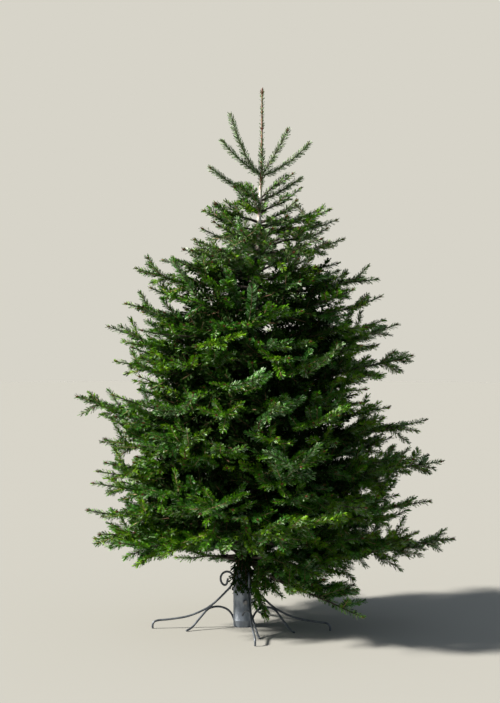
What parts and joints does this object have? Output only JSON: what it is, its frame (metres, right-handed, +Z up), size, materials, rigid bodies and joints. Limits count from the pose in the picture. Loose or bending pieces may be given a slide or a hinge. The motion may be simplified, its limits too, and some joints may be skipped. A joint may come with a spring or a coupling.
{
  "type": "christmas tree in a wrought iron stand",
  "caption": "Cut fir Christmas tree without decorations: a slightly leaning trunk with tiers of needled boughs up to a bare leader, clamped in a scrolled iron tube stand.",
  "frame": {"origin": "centre of the flat underside of the stand's tube, on the ground under the trunk", "axes": "+Z up along the tree, -Y towards the viewer, +X to the viewer's right"},
  "size_m": [1.4215, 1.188, 2.02],
  "materials": {
    "needles": "glossy dark green needles with paler undersides",
    "bark": "rough grey brown bark, reddish brown on the young leader",
    "iron": "soft sheen blue black paint on round iron bar and tube",
    "screws": "blue black paint, worn at the corners"
  },
  "bodies": {
    "root": {"stand_tube": "iron", "stand_screw_1": "screws", "stand_screw_2": "screws", "stand_leg_right": "iron", "stand_leg_back": "iron", "stand_leg_left": "iron", "stand_leg_front": "iron", "trunk": "bark", "bough_a1": "bark", "foliage_a1": "needles", "bough_a2": "bark", "foliage_a2": "needles", "bough_a3": "bark", "foliage_a3": "needles", "bough_a4": "bark", "foliage_a4": "needles", "foliage_b1": "needles", "foliage_b2": "needles", "foliage_b3": "needles", "foliage_b4": "needles", "foliage_b5": "needles", "foliage_c1": "needles", "foliage_c2": "needles", "foliage_c3": "needles", "foliage_c4": "needles", "foliage_c5": "needles", "foliage_d1": "needles", "foliage_d2": "needles", "foliage_d3": "needles", "foliage_d4": "needles", "foliage_d5": "needles", "foliage_e1": "needles", "foliage_e2": "needles", "foliage_e3": "needles", "foliage_e4": "needles", "foliage_e5": "needles", "foliage_f1": "needles", "foliage_f2": "needles", "foliage_f3": "needles", "foliage_f4": "needles", "foliage_g1": "needles", "foliage_g2": "needles", "foliage_g3": "needles", "foliage_g4": "needles", "foliage_h1": "needles", "foliage_h2": "needles", "foliage_h3": "needles", "foliage_h4": "needles", "foliage_i1": "needles", "foliage_i2": "needles", "foliage_i3": "needles", "foliage_i4": "needles", "foliage_j1": "needles", "foliage_j2": "needles", "shoot_k1": "needles", "shoot_k2": "needles", "shoot_l1": "needles", "shoot_l2": "needles", "shoot_l3": "needles", "shoot_l4": "needles"}
  },
  "joints": []
}
